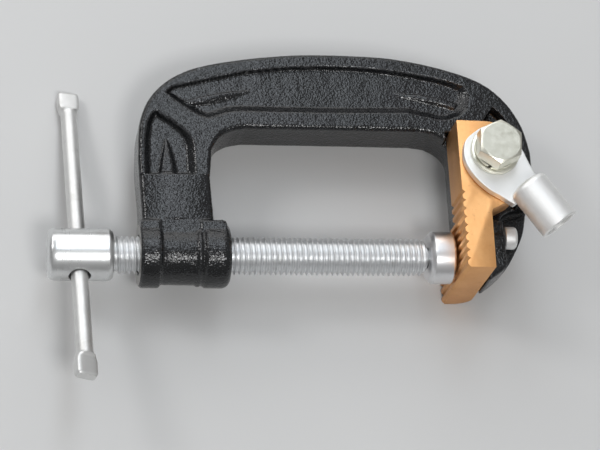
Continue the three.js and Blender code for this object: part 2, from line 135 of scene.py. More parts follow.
def from_arrays(name, points, faces, already_row=False):
    """An object from points and faces, with doubled points merged and its faces turned outward."""
    mesh = bpy.data.meshes.new(name)
    rows = points if already_row else to_row(points)
    mesh.from_pydata([tuple(p) for p in rows], [], [tuple(int(i) for i in f) for f in faces])
    ob = link(name, mesh)
    bm = bmesh.new()
    bm.from_mesh(mesh)
    bmesh.ops.remove_doubles(bm, verts=bm.verts, dist=2e-6)
    bmesh.ops.recalc_face_normals(bm, faces=bm.faces)
    bm.to_mesh(mesh)
    bm.free()
    return ob


def sharpen(ob, degrees):
    """Smooth shading with hard edges above the angle."""
    bm = bmesh.new()
    bm.from_mesh(ob.data)
    limit = math.radians(degrees)
    for face in bm.faces:
        face.smooth = True
    for edge in bm.edges:
        edge.smooth = not (len(edge.link_faces) == 2 and edge.calc_face_angle(0) > limit)
    bm.to_mesh(ob.data)
    bm.free()
    return ob


def applied(ob):
    """Turns the object's modifiers into its mesh."""
    bpy.context.view_layer.update()
    graph = bpy.context.evaluated_depsgraph_get()
    mesh = bpy.data.meshes.new_from_object(ob.evaluated_get(graph))
    old = ob.data
    ob.modifiers.clear()
    ob.data = mesh
    mesh.name = ob.name
    bpy.data.meshes.remove(old)
    return ob


def bevelled(ob, width_mm, segments=2, degrees=28):
    """Rounds the edges sharper than the angle."""
    m = ob.modifiers.new("edges", "BEVEL")
    m.width = width_mm / 1000
    m.segments = segments
    m.limit_method = "ANGLE"
    m.angle_limit = math.radians(degrees)
    m.harden_normals = False
    m.use_clamp_overlap = True
    return applied(ob)


def cut(ob, tool):
    """Takes the tool's shape out of the object."""
    m = ob.modifiers.new("cut", "BOOLEAN")
    m.operation = "DIFFERENCE"
    m.solver = "EXACT"
    m.object = tool
    applied(ob)
    bpy.data.objects.remove(tool)
    return ob


def rings_mesh(name, rings, closed_ends=True, looped=False):
    """A tube through rings with the same number of points each."""
    count = len(rings[0])
    points = [p for ring in rings for p in ring]
    faces = []
    total = len(rings)
    for i in range(total if looped else total - 1):
        a, b = i * count, ((i + 1) % total) * count
        for j in range(count):
            k = (j + 1) % count
            faces.append((a + j, a + k, b + k, b + j))
    if closed_ends and not looped:
        faces.append(tuple(range(count))[::-1])
        faces.append(tuple(range((total - 1) * count, total * count)))
    return from_arrays(name, points, faces)


def lathe_x(name, profile, segments=96, centre=(0.0, 0.0), closed=False):
    """A turned piece along X from (x, radius) pairs."""
    rings = []
    for x, r in profile:
        rings.append([(x, centre[0] + r * math.cos(2 * math.pi * j / segments),
                       centre[1] + r * math.sin(2 * math.pi * j / segments)) for j in range(segments)])
    return rings_mesh(name, rings, closed_ends=not closed, looped=closed)


def lathe_z(name, profile, centre, segments=96, closed=False):
    """A turned piece along Z from (radius, z) pairs."""
    rings = []
    for r, z in profile:
        rings.append([(centre[0] + r * math.cos(2 * math.pi * j / segments),
                       centre[1] + r * math.sin(2 * math.pi * j / segments), z) for j in range(segments)])
    return rings_mesh(name, rings, closed_ends=not closed, looped=closed)


def rounded(profile, radius, steps=4):
    """The open profile with its inner corners rounded."""
    out = [profile[0]]
    for before, here, after in zip(profile, profile[1:], profile[2:]):
        h = np.array(here, float)
        a, b = np.array(before, float) - h, np.array(after, float) - h
        la, lb = np.linalg.norm(a), np.linalg.norm(b)
        d = min(radius, 0.45 * la, 0.45 * lb)
        p, q = h + a / la * d, h + b / lb * d
        for i in range(steps + 1):
            t = i / steps
            out.append(tuple((1 - t) ** 2 * p + 2 * t * (1 - t) * h + t * t * q))
    out.append(profile[-1])
    return out


def copy_of(node, name, merge_flats=True):
    """A welded copy of a CAD node's mesh."""
    ob = link(name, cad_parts[node].data.copy())
    bm = bmesh.new()
    bm.from_mesh(ob.data)
    bmesh.ops.remove_doubles(bm, verts=bm.verts, dist=5e-6)
    if merge_flats:
        bmesh.ops.dissolve_limit(bm, angle_limit=math.radians(0.6), verts=bm.verts, edges=bm.edges)
    bm.to_mesh(ob.data)
    bm.free()
    ob.data.materials.clear()
    return ob


def join(target, others):
    """Moves the other objects' meshes into the target."""
    for ob in others:
        bm = bmesh.new()
        bm.from_mesh(target.data)
        bm.from_mesh(ob.data)
        bm.to_mesh(target.data)
        bm.free()
        bpy.data.objects.remove(ob)
    return target


def voxelled(ob, size_mm, smooth_times):
    """Remeshed on a grid and softened."""
    m = ob.modifiers.new("remesh", "REMESH")
    m.mode = "VOXEL"
    m.voxel_size = size_mm / 1000
    m.adaptivity = 0
    s = ob.modifiers.new("soften", "SMOOTH")
    s.factor = 0.5
    s.iterations = smooth_times
    return applied(ob)


def coords(mesh):
    """The mesh's points, one row each."""
    co = np.zeros(len(mesh.vertices) * 3)
    mesh.vertices.foreach_get("co", co)
    return co.reshape(-1, 3)


def normals(mesh):
    """The mesh's outward direction at each point, one row each."""
    no = np.zeros(len(mesh.vertices) * 3, np.float32)
    mesh.vertex_normals.foreach_get("vector", no)
    return no.reshape(-1, 3).astype(float)


def set_coords(mesh, co):
    """Moves the mesh's points."""
    mesh.vertices.foreach_set("co", np.asarray(co, np.float32).ravel())
    mesh.update()


def finish_piece(ob, material, slot, body, *nodes):
    """Gives a piece its material and lets it ride on a body in place of CAD nodes; the slot is not used."""
    ob.data.materials.clear()
    ob.data.materials.append(material)
    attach(ob, body)
    if nodes:
        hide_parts(*nodes)
    return ob


# ---------------------------------------------------------------- material helpers
class Nodes:
    """Short names for building a node material."""

    def __init__(self, name):
        self.mat = bpy.data.materials.new(name)
        self.mat.use_nodes = True
        self.tree = self.mat.node_tree
        self.tree.nodes.clear()
        self.shader = self.tree.nodes.new("ShaderNodeBsdfPrincipled")
        out = self.tree.nodes.new("ShaderNodeOutputMaterial")
        self.tree.links.new(self.shader.outputs[0], out.inputs[0])

    def node(self, kind, **inputs):
        """A new node with its inputs set by name."""
        n = self.tree.nodes.new(kind)
        for key, value in inputs.items():
            self.put(n.inputs[key.replace("_", " ")], value)
        return n

    def put(self, socket, value):
        """Links an output to the socket, or sets a plain value or colour on it."""
        if isinstance(value, bpy.types.NodeSocket):
            self.tree.links.new(value, socket)
        elif isinstance(value, (tuple, list)) and len(value) == 3 and socket.type == "RGBA":
            socket.default_value = (*value, 1)
        else:
            socket.default_value = value

    def set(self, **inputs):
        """Sets the shader's own inputs by name."""
        for key, value in inputs.items():
            self.put(self.shader.inputs[key.replace("_", " ")], value)

    def place(self, scale=(1, 1, 1)):
        """Object coordinates in millimetres."""
        c = self.tree.nodes.new("ShaderNodeTexCoord")
        m = self.node("ShaderNodeMapping", Vector=c.outputs["Object"])
        m.inputs["Scale"].default_value = tuple(1000 * s for s in scale)
        return m.outputs[0]

    def noise(self, vector, scale, detail=3, rough=0.55, distortion=0.0):
        n = self.node("ShaderNodeTexNoise", Vector=vector, Scale=scale, Detail=detail, Roughness=rough,
                      Distortion=distortion)
        return n.outputs[0]

    def voronoi(self, vector, scale):
        n = self.node("ShaderNodeTexVoronoi", Vector=vector, Scale=scale)
        return n.outputs[0]

    def span(self, value, low, high, to_low=0.0, to_high=1.0):
        """Maps a value from one range to another."""
        n = self.tree.nodes.new("ShaderNodeMapRange")
        self.put(n.inputs["Value"], value)
        for key, v in (("From Min", low), ("From Max", high), ("To Min", to_low), ("To Max", to_high)):
            self.put(n.inputs[key], v)
        return n.outputs[0]

    def math(self, op, a, b):
        n = self.tree.nodes.new("ShaderNodeMath")
        n.operation = op
        self.put(n.inputs[0], a)
        self.put(n.inputs[1], b)
        return n.outputs[0]

    def mix(self, factor, a, b):
        n = self.tree.nodes.new("ShaderNodeMix")
        n.data_type = "RGBA"
        self.put(n.inputs[0], factor)
        self.put(n.inputs[6], a)
        self.put(n.inputs[7], b)
        return n.outputs[2]

    def bump(self, height, strength, distance_mm):
        n = self.node("ShaderNodeBump", Height=height, Strength=strength)
        n.inputs["Distance"].default_value = distance_mm / 1000
        return n.outputs[0]


def enamel_material():
    """Black gloss enamel over a sand-cast skin, with painted glints in light flecks and a painted highlight
    on the high edges.
    """
    m = Nodes("black_cast_enamel")
    p = m.place()
    grain = m.noise(p, 1.2, 1.5, 0.5)
    pits = m.voronoi(p, 0.7)
    swell = m.noise(p, 0.16, 3, 0.5)
    cloud = m.noise(p, 0.045, 4, 0.6)
    height = m.math("ADD", m.math("MULTIPLY", grain, 0.65), m.math("MULTIPLY", pits, 0.28))
    height = m.math("ADD", height, m.math("MULTIPLY", swell, 0.5))
    # Light flecks mixed into the base colour are painted glints: painted highlights standing in for the
    # enamel's sparkle.
    painted_glint = m.span(m.noise(p, 1.5, 2, 0.5), 0.60, 0.70)
    dust = m.span(cloud, 0.42, 0.72)
    base = m.mix(dust, (0.004, 0.0044, 0.005), (0.008, 0.0086, 0.0095))
    base = m.mix(m.math("MULTIPLY", painted_glint, 0.5), base, (0.08, 0.085, 0.095))
    # Pointiness lightens the high edges of the enamel: a painted highlight along them, broken up by noise.
    edge = m.span(m.node("ShaderNodeNewGeometry").outputs["Pointiness"], 0.515, 0.57)
    wear_and_highlight = m.math("MULTIPLY", edge, m.span(m.noise(p, 0.8, 2, 0.5), 0.38, 0.62))
    base = m.mix(m.math("MULTIPLY", wear_and_highlight, 0.75), base, (0.15, 0.155, 0.165))
    rough = m.span(m.math("ADD", cloud, m.math("MULTIPLY", grain, 0.3)), 0.4, 0.95, 0.08, 0.16)
    m.set(Base_Color=base, Metallic=0.0, Roughness=rough, Normal=m.bump(height, 1.0, 0.31),
          IOR=1.5)
    return m.mat


def zinc_material(name, tint, rough_range, turned=True, smudge=0.35, groove=1.0):
    """Bright zinc plate. Turned pieces carry fine rings round the drawing's X axis."""
    m = Nodes(name)
    p = m.place()
    if turned:
        lines = m.noise(m.place(scale=(3.2, 0.02, 0.02)), 1.0, 4, 0.65)
    else:
        lines = m.noise(m.place(scale=(0.6, 0.06, 0.6)), 1.4, 4, 0.65)
    mottle = m.noise(p, 0.22, 5, 0.6)
    fine = m.noise(p, 2.2, 3, 0.6)
    stain = m.span(m.noise(p, 0.09, 4, 0.62, 0.6), 0.58, 0.74)
    wear_and_highlight = m.mix(m.math("MULTIPLY", m.span(mottle, 0.35, 0.75), 0.5), tint, tuple(0.86 * c for c in tint))
    base = m.mix(m.math("MULTIPLY", stain, smudge), wear_and_highlight, (0.42, 0.41, 0.38))
    rough = m.span(m.math("ADD", m.math("MULTIPLY", lines, 0.6), m.math("MULTIPLY", mottle, 0.5)), 0.3, 0.8,
                   rough_range[0], rough_range[1])
    height = m.math("ADD", m.math("MULTIPLY", lines, 0.7), m.math("MULTIPLY", fine, 0.2))
    m.set(Base_Color=base, Metallic=1.0, Roughness=rough, Normal=m.bump(height, 0.10 * groove, 0.05))
    return m.mat


def copper_material():
    """Milled copper: fine cutter marks, a light face and brown handling marks."""
    m = Nodes("milled_copper")
    p = m.place()
    mill = m.noise(m.place(scale=(0.5, 0.045, 0.5)), 1.6, 4, 0.7)
    cloud = m.noise(p, 0.10, 5, 0.6)
    spots = m.span(m.noise(p, 0.5, 4, 0.6), 0.60, 0.74)
    base = m.mix(m.span(cloud, 0.35, 0.7), (0.78, 0.40, 0.16), (0.85, 0.48, 0.21))
    base = m.mix(m.math("MULTIPLY", spots, 0.4), base, (0.50, 0.21, 0.085))
    rough = m.span(m.math("ADD", m.math("MULTIPLY", mill, 0.7), m.math("MULTIPLY", cloud, 0.4)), 0.3, 0.85,
                   0.34, 0.52)
    height = m.math("ADD", m.math("MULTIPLY", mill, 0.7), m.math("MULTIPLY", m.noise(p, 1.6, 3, 0.6), 0.35))
    m.set(Base_Color=base, Metallic=1.0, Roughness=rough, Normal=m.bump(height, 0.16, 0.08))
    return m.mat


def tin_material():
    """Tinned copper lug: satin, faintly mottled, warm where the copper shows through."""
    m = Nodes("tinned_lug")
    p = m.place()
    mottle = m.noise(p, 0.35, 5, 0.62)
    cloud = m.noise(p, 0.07, 3, 0.5)
    fine = m.noise(p, 2.6, 3, 0.6)
    warm = m.math("MULTIPLY", m.span(cloud, 0.55, 0.75), 0.12)
    base = m.mix(warm, (0.93, 0.93, 0.92), (0.92, 0.88, 0.81))
    rough = m.span(mottle, 0.3, 0.75, 0.52, 0.66)
    height = m.math("ADD", m.math("MULTIPLY", mottle, 0.6), m.math("MULTIPLY", fine, 0.25))
    m.set(Base_Color=base, Metallic=1.0, Roughness=rough, Normal=m.bump(height, 0.10, 0.10))
    return m.mat


def nickel_material():
    """Dull yellowish plating on the hexagon bolt and washers."""
    m = Nodes("bolt_plating")
    p = m.place()
    mottle = m.noise(p, 0.3, 5, 0.62)
    fine = m.noise(p, 2.4, 3, 0.6)
    spots = m.span(m.noise(p, 0.8, 3, 0.5), 0.66, 0.76)
    base = m.mix(m.span(mottle, 0.35, 0.7), (0.72, 0.71, 0.61), (0.80, 0.79, 0.70))
    base = m.mix(m.math("MULTIPLY", spots, 0.16), base, (0.45, 0.40, 0.30))
    rough = m.span(mottle, 0.3, 0.75, 0.30, 0.46)
    height = m.math("ADD", m.math("MULTIPLY", mottle, 0.6), m.math("MULTIPLY", fine, 0.25))
    m.set(Base_Color=base, Metallic=1.0, Roughness=rough, Normal=m.bump(height, 0.12, 0.10))
    return m.mat


def machined_material():
    """Bare machined iron on the boss's end face."""
    m = Nodes("machined_iron")
    p = m.place()
    rings = m.noise(m.place(scale=(0.2, 1.5, 1.5)), 1.0, 3, 0.6)
    base = m.mix(m.noise(p, 0.4, 3, 0.5), (0.34, 0.33, 0.32), (0.52, 0.51, 0.49))
    m.set(Base_Color=base, Metallic=1.0, Roughness=m.span(rings, 0.3, 0.8, 0.3, 0.5),
          Normal=m.bump(rings, 0.2, 0.06))
    return m.mat


# ---------------------------------------------------------------- pieces
# Relief of the casting's two flat sides: outlines at the flange's level, as (x, y, run of the wall below)
SPINE_EDGE = [
    (-45.9, 80.5, 1.6), (-43.2, 82.5, 0.5), (-28.5, 86.2, 0.3), (-7.5, 91.5, 0.4), (14.9, 94.3, 0.5),
    (31.7, 95.0, 0.6), (48.5, 94.9, 0.8), (61.0, 94.1, 1.0), (73.5, 92.7, 1.3), (86.0, 90.6, 1.6),
    (95.2, 88.4, 1.8), (101.6, 86.4, 3.0), (104.5, 80.5, 7.0), (103.0, 73.5, 7.0), (98.5, 69.6, 4.0),
    (92.1, 67.3, 4.2), (87.4, 67.2, 4.4), (82.5, 68.4, 4.5), (72.0, 70.6, 4.6), (50.7, 70.1, 4.6),
    (30.3, 69.7, 4.6), (-10.8, 69.6, 4.6), (-16.7, 68.9, 4.6), (-21.4, 67.1, 4.5), (-26.1, 65.6, 4.4),
    (-30.6, 66.9, 4.4), (-35.8, 70.3, 4.2), (-42.0, 74.8, 3.8), (-46.6, 79.0, 2.8)]
LEG_EDGE = [
    (-57.9, 35.0, 3.3), (-32.9, 35.0, 4.3), (-32.9, 41.0, 4.3), (-33.0, 45.5, 4.2), (-33.2, 50.7, 4.0),
    (-33.9, 54.7, 3.4), (-35.7, 57.8, 2.8), (-38.6, 61.1, 2.3), (-41.2, 62.9, 2.1), (-44.4, 65.6, 2.0),
    (-48.0, 67.6, 1.9), (-50.6, 69.8, 1.5), (-53.1, 69.2, 1.6), (-54.9, 66.4, 2.2), (-56.2, 63.5, 2.6),
    (-57.1, 58.8, 3.0), (-57.7, 54.2, 3.2), (-57.9, 48.5, 3.3), (-57.9, 42.8, 3.3)]
RIB_LEFT = [(-36.9, 75.3, 0.5), (-28.6, 77.7, 0.5), (-19.4, 79.9, 0.5), (-12.6, 81.0, 0.5), (-5.8, 81.6, 0.5),
            (-10.2, 80.4, 1.2), (-17.6, 78.6, 2.2), (-25.0, 76.3, 2.2), (-33.8, 74.2, 1.0)]
RIB_RIGHT = [(66.8, 82.4, 0.6), (79.4, 81.6, 0.6), (91.8, 78.8, 0.6), (97.2, 76.9, 1.2), (96.0, 75.4, 1.6),
             (89.2, 77.6, 1.8), (79.2, 79.7, 1.6), (69.2, 81.3, 0.9)]
LEG_RIB = [(-46.8, 55.4, 0.8), (-48.3, 45.8, 1.2), (-49.7, 36.0, 1.6), (-44.4, 36.0, 3.0), (-45.0, 43.6, 2.6),
           (-45.9, 50.5, 1.8)]


def edge_distance(xy, ring):
    """Distance inside a closed outline, negative outside, and the wall's run at the nearest edge."""
    best = np.full(len(xy), 1e9)
    run = np.zeros(len(xy))
    inside = np.zeros(len(xy), bool)
    x, y = xy[:, 0], xy[:, 1]
    for (x0, y0, w0), (x1, y1, w1) in zip(ring, ring[1:] + ring[:1]):
        dx, dy = x1 - x0, y1 - y0
        t = np.clip(((x - x0) * dx + (y - y0) * dy) / (dx * dx + dy * dy), 0, 1)
        d = np.hypot(x - x0 - t * dx, y - y0 - t * dy)
        near = d < best
        best[near] = d[near]
        run[near] = (w0 + t * (w1 - w0))[near]
        if y0 != y1:
            crosses = ((y0 > y) != (y1 > y)) & (x < x0 + (y - y0) / (y1 - y0) * dx)
            inside ^= crosses
    return np.where(inside, best, -best), run


def smoothed(t):
    """Eases arrays from 0 to 1."""
    t = np.clip(t, 0, 1)
    return t * t * (3 - 2 * t)


def eased(t):
    """A straight wall with short curves at its top and foot."""
    t = np.clip(t, 0, 1)
    return np.clip(0.65 * t + 0.35 * t * t * (3 - 2 * t), 0, 1)


def hashed(ix, iy, iz, seed):
    """A repeatable value from -1 to 1 for each grid corner."""
    h = (ix * 374761393 + iy * 668265263 + iz * 2147483647 + seed * 974711) & 0xFFFFFFFF
    h = ((h ^ (h >> 13)) * 1274126177) & 0xFFFFFFFF
    return ((h ^ (h >> 16)) & 0xFFFF) / 32767.5 - 1


def lumps(points, size_mm, seed):
    """Smooth random lumps from -1 to 1, about size_mm apart."""
    q = points / size_mm
    i = np.floor(q).astype(np.int64)
    f = q - i
    f = f * f * (3 - 2 * f)
    total = np.zeros(len(points))
    for a in (0, 1):
        for b in (0, 1):
            for c in (0, 1):
                w = (np.where(a, f[:, 0], 1 - f[:, 0]) * np.where(b, f[:, 1], 1 - f[:, 1])
                     * np.where(c, f[:, 2], 1 - f[:, 2]))
                total += w * hashed(i[:, 0] + a, i[:, 1] + b, i[:, 2] + c, seed)
    return total


def raised(xy, ring):
    """A rib's shape over the floor of its recess, from 0 to 1."""
    inner, run = edge_distance(xy, ring)
    return (1 - eased(-inner / run)) * smoothed((inner + run + 0.01) / 0.02)


def spine_recess(xy):
    """Depth of the long recess, deeper towards the jaw, less its two ribs."""
    x = xy[:, 0]
    inner, run = edge_distance(xy, SPINE_EDGE)
    deep = SPINE_DEPTH + 0.75 * smoothed((x + 30) / 80)
    sunk = deep * eased(inner / run)
    sunk -= raised(xy, RIB_LEFT) * (0.35 + 1.2 * smoothed((-x - 2) / 26))
    sunk -= raised(xy, RIB_RIGHT) * (0.35 + 1.25 * smoothed((x - 64) / 24))
    return np.where(inner > 0, np.maximum(sunk, 0), 0)


def leg_recess(xy):
    """Depth of the leg's recess above the block, less its rib."""
    y = xy[:, 1]
    inner, run = edge_distance(xy, LEG_EDGE)
    sunk = LEG_DEPTH * eased(inner / run)
    sunk -= raised(xy, LEG_RIB) * (0.5 + 1.9 * smoothed((57 - y) / 14))
    sunk = np.where((inner > 0) & (y > BLOCK_TOP - 0.3), np.maximum(sunk, 0), 0)
    return sunk * smoothed((y - BLOCK_TOP + 0.4) / 0.5)


def block_crown(xy):
    """The block over the boss is crowned: low at its sides and proud in the middle."""
    x = xy[:, 0]
    y = xy[:, 1]
    block = smoothed((BLOCK_TOP - y) / 0.5) * smoothed((y - 13.5) / 1.0) * (x < -22)
    return block * (((x - BLOCK_MIDDLE) / 17.5) ** 2 * 1.5 - 0.55)


def relief(xy):
    """How far the flat side is sunk at each point, in millimetres."""
    return spine_recess(xy) + leg_recess(xy) + block_crown(xy)


def filled_blank():
    """The CAD casting with its two recesses filled level, ready for the finer relief."""
    ob = copy_of("c_frame", "frame_casting", merge_flats=False)
    plugs = []
    for ring in (SPINE_EDGE, LEG_EDGE):
        outline = [(x, max(y, 36.0)) for x, y, _ in ring]
        middle = np.mean(outline, axis=0)
        outline = [tuple(middle + (np.array(p) - middle) * 1.012) for p in outline]
        for z0, z1 in ((7.0, 12.0), (-12.0, -7.0)):
            rings = [[(x, y, z) for x, y in outline] for z in (z0, z1)]
            plug = rings_mesh("plug", rings)
            bm = bmesh.new()
            bm.from_mesh(plug.data)
            bmesh.ops.triangulate(bm, faces=bm.faces)
            bm.to_mesh(plug.data)
            bm.free()
            plugs.append(plug)
    return join(ob, plugs)


def within(values, low_end, high_end):
    """True where the values lie between two ends."""
    return (values > low_end) & (values < high_end)


def sunk_recesses(d):
    """How far each point of the casting's flat sides is let in, in millimetres."""
    beside_jaw = (d[:, 0] > LAP_X) & (d[:, 1] < 63) & (d[:, 2] > 0)
    on_flat_side = smoothed((np.abs(d[:, 2]) - 7.5) / 3.0) * (d[:, 1] > 13) * ~beside_jaw
    return on_flat_side * relief(d[:, :2])


def cast_skin(d):
    """Height of the sand-cast skin, with saw streaks in the throat and none on the machined faces."""
    skin = 0.10 * lumps(d, 9.0, 1) + 0.04 * lumps(d, 3.1, 2) + 0.045 * lumps(d, 1.5, 3)
    stretched = np.stack([d[:, 0], d[:, 1] * 0.2, d[:, 2] * 0.07], 1)
    throat = within(d[:, 1], 60, 62.3) & within(d[:, 0], -14, 86) & (np.abs(d[:, 2]) < 10.5)
    skin = np.where(throat, 0.05 * lumps(stretched, 1.1, 4) + 0.03 * lumps(d, 3.1, 2), skin)
    bore = (np.hypot(d[:, 1], d[:, 2]) < 10.6) & within(d[:, 0], -62, -16)
    boss_end = d[:, 0] < BOSS_LEFT + 0.3
    jaw_seat = (d[:, 0] > 92) & within(d[:, 1], 6, 61.5) & within(d[:, 2], 4, 5.6)
    tail_face = within(d[:, 0], 105.5, TAIL_FACE_X) & (d[:, 1] < 16)
    skin[bore | boss_end | jaw_seat | tail_face] = 0
    return skin


def build_casting(material):
    """The iron casting: the CAD shape with its recesses, ribs, crowned block and sand-cast skin."""
    ob = voxelled(filled_blank(), CASTING_VOXEL, 5)
    d = to_drawing(coords(ob.data))
    d[:, 2] -= np.sign(d[:, 2]) * sunk_recesses(d)
    set_coords(ob.data, to_row(d))
    outward = normals(ob.data)
    set_coords(ob.data, to_row(d + outward * cast_skin(d)[:, None]))
    for poly in ob.data.polygons:
        poly.use_smooth = True
    return finish_piece(ob, material, "frame_paint", "frame", "c_frame")


def build_boss_ring(material):
    """Thin machined ring on the boss's end face."""
    front = BOSS_LEFT - 0.12
    back = BOSS_LEFT + 0.3
    ob = lathe_x("boss_end_face", [(front, 9.9), (front, 14.2), (back, 14.5), (back, 9.5)], 96, closed=True)
    sharpen(ob, 30)
    return finish_piece(ob, material, "frame_paint", "frame")


def build_jaw(material):
    """The copper block with its edges broken."""
    ob = copy_of("copper_jaw", "jaw_block")
    bevelled(ob, 0.38, 3, 24)
    sharpen(ob, 32)
    return finish_piece(ob, material, "jaw_copper", "frame", "copper_jaw")


def build_jaw_screw(material):
    """Cap screw behind the jaw: a shank, a rounded head and a hexagon socket."""
    profile = rounded([(99.0, 0.01), (99.0, 2.9), (99.3, 3.0), (CAP_START, 3.0), (CAP_START + 0.05, CAP_R),
                       (CAP_END, CAP_R), (CAP_END, 0.01)], 1.9, 8)
    ob = lathe_x("jaw_cap_screw", profile, 72, centre=(CAP_Y, CAP_Z))
    socket_r = 5 / math.sqrt(3)
    corners = [math.pi / 3 * k + 0.3 for k in range(6)]
    rings = [[(x, CAP_Y + socket_r * math.cos(a), CAP_Z + socket_r * math.sin(a)) for a in corners]
             for x in (119.9, 124.0)]
    cut(ob, rings_mesh("tool", rings))
    sharpen(ob, 34)
    return finish_piece(ob, material, "plated_steel", "frame", "jaw_screw")


def build_bolt(material):
    """Hexagon bolt whose top is turned to a low cone outside its round land."""
    cx, cy = BOLT
    top = HEX_Z + HEX_HIGH
    across = HEX_FLATS / 2
    land = across * 0.945
    slope = math.tan(math.radians(29))
    steps = 144
    turn = math.radians(HEX_TURN)

    def hex_radius(angle):
        a = (angle - turn + math.pi) % (math.pi / 3)
        return across / math.cos(a - math.pi / 6)

    rings = []
    angles = [2 * math.pi * j / steps for j in range(steps)]

    def ring(radius_of, z_of):
        rings.append([(cx + radius_of(a) * math.cos(a), cy + radius_of(a) * math.sin(a), z_of(a))
                      for a in angles])

    def height(r):
        return top - max(0.0, r - land) * slope

    shank = ((0.02, SHANK_END), (SHANK_R - 1.0, SHANK_END), (SHANK_R, SHANK_END + 0.95), (SHANK_R, HEX_Z),
             (across * 0.93, HEX_Z))
    for r, z in shank:
        ring(lambda a, r=r: r, lambda a, z=z: z)
    ring(hex_radius, lambda a: HEX_Z)
    for f in (0.04, 0.35, 0.7):
        ring(hex_radius, lambda a, f=f: HEX_Z + f * (height(hex_radius(a)) - HEX_Z))
    ring(hex_radius, lambda a: height(hex_radius(a)) - 0.16)
    ring(lambda a: hex_radius(a) - 0.14, lambda a: height(hex_radius(a) - 0.14))
    for t in (0.25, 0.5, 0.75):
        ring(lambda a, t=t: hex_radius(a) * (1 - t) + (land + 0.05) * t - 0.05,
             lambda a, t=t: height(hex_radius(a) * (1 - t) + (land + 0.05) * t - 0.05))
    for f in (0.995, 0.96, 0.8, 0.6, 0.4, 0.2):
        ring(lambda a, f=f: land * f, lambda a: top)
    ring(lambda a: 0.02, lambda a: top)
    ob = rings_mesh("terminal_hex_bolt", rings)
    sharpen(ob, 24)
    return finish_piece(ob, material, "bolt_plating", "frame", "terminal_bolt")


def build_flat_washer(material):
    """Plain washer with softened rims."""
    z0 = WASHER_Z
    z1 = WASHER_Z + WASHER_HIGH
    r = WASHER_R
    section = [(6.45, z0 + 0.1), (6.6, z0), (r - 0.2, z0), (r, z0 + 0.2), (r, z1 - 0.45),
               (r - 0.15, z1 - 0.15), (r - 0.5, z1), (6.7, z1), (6.5, z1 - 0.1), (6.45, z1 - 0.3)]
    ob = lathe_z("flat_washer_ring", section, BOLT, 120, closed=True)
    sharpen(ob, 40)
    return finish_piece(ob, material, "bolt_plating", "frame", "flat_washer")


def build_spring_washer(material):
    """Split ring that climbs a little on its way round."""
    cx, cy = BOLT
    z0 = SPRING_Z + 0.02
    start, sweep = math.radians(247), math.radians(352)
    section = [(6.4, 0.25), (6.65, 0.0), (10.2, 0.0), (10.5, 0.3), (10.5, 1.95), (10.2, 2.25), (6.65, 2.25),
               (6.4, 2.0)]
    rings = []
    count = 110
    for i in range(count + 1):
        t = i / count
        a = start + sweep * t
        lift = 0.3 * t
        rings.append([(cx + r * math.cos(a + 0.035 * z), cy + r * math.sin(a + 0.035 * z), z0 + z + lift)
                      for r, z in section])
    ob = rings_mesh("split_spring_washer", rings)
    sharpen(ob, 30)
    return finish_piece(ob, material, "bolt_plating", "frame", "spring_washer")


def build_lug(material):
    """The CAD lug with its edges softened."""
    ob = copy_of("cable_lug", "cable_lug_body", merge_flats=False)
    voxelled(ob, LUG_VOXEL, 3)
    for poly in ob.data.polygons:
        poly.use_smooth = True
    return finish_piece(ob, material, "tinned_copper", "lug", "cable_lug")


def build_thread(material):
    """The screw's right-hand thread as one helical skin, with the turned tip joined to its end."""
    shape = [(0.0, 0.0), (0.08, 0.0), (0.15, 0.07), (0.29, 0.5), (0.40, 0.9), (0.45, 1.0), (0.55, 1.0),
             (0.60, 0.9), (0.71, 0.5), (0.85, 0.07), (0.92, 0.0)]
    around = 72
    turns = int(math.ceil((THREAD_END - THREAD_START) / PITCH)) + 2
    rows = turns * len(shape)
    points = np.zeros((rows, around, 3))
    for k in range(rows):
        u, h = shape[k % len(shape)]
        for j in range(around):
            a = 2 * math.pi * j / around
            x = THREAD_START - PITCH + (k // len(shape) + u + j / around) * PITCH
            run_in = max(0.0, x - THREAD_START - 0.3)
            run_out = max(0.0, (THREAD_END - x) / 1.5)
            fade = min(1.0, run_in, run_out)
            x = min(max(x, THREAD_START), THREAD_END)
            r = THREAD_ROOT + (THREAD_R - THREAD_ROOT) * h * fade
            points[k, j] = (x, r * math.cos(a), r * math.sin(a))
    faces = []
    per = len(shape)
    for k in range(rows - 1):
        for j in range(around - 1):
            a = k * around + j
            faces.append((a, a + 1, a + around + 1, a + around))
        if k + 1 + per < rows:
            a = k * around + around - 1
            faces.append((a, (k + per) * around, (k + per + 1) * around, a + around))
    mesh_points = points.reshape(-1, 3)
    ob = from_arrays("screw_thread", mesh_points, faces)
    bm = bmesh.new()
    bm.from_mesh(ob.data)
    bmesh.ops.dissolve_degenerate(bm, dist=1e-6, edges=bm.edges)
    loose = [v for v in bm.verts if not v.link_faces]
    bmesh.ops.delete(bm, geom=loose, context="VERTS")
    ends = [e for e in bm.edges if len(e.link_faces) == 1]
    bmesh.ops.holes_fill(bm, edges=ends, sides=0)
    bmesh.ops.recalc_face_normals(bm, faces=bm.faces)
    bm.to_mesh(ob.data)
    bm.free()
    sharpen(ob, 50)
    tip_profile = [(THREAD_END - 0.8, 0.02), (THREAD_END - 0.8, 6.2), (THREAD_END + 0.9, 6.2),
                   (THREAD_END + 1.4, TIP_R), (84.4, TIP_R), (84.4, 3.4), (85.8, 3.4), (85.8, TIP_R),
                   (TIP_END - 0.5, TIP_R), (TIP_END, 3.9), (TIP_END, 0.02)]
    tip = lathe_x("tip", rounded(tip_profile, 0.2, 2), 72)
    sharpen(tip, 40)
    join(ob, [tip])
    return finish_piece(ob, material, "screw_zinc", "screw", "clamp_screw")


def bar_matrix():
    """Places a piece drawn along Y through the head's cross hole."""
    return (Matrix.Translation((BAR_X, 0, 0)) @ Matrix.Rotation(math.radians(BAR_SKEW), 4, "Z")
            @ Matrix.Rotation(math.radians(BAR_TILT), 4, "X"))


def bar_points(points):
    """Points drawn along Y, moved onto the handle's axis."""
    m = bar_matrix()
    return [tuple(m @ Vector(p)) for p in points]


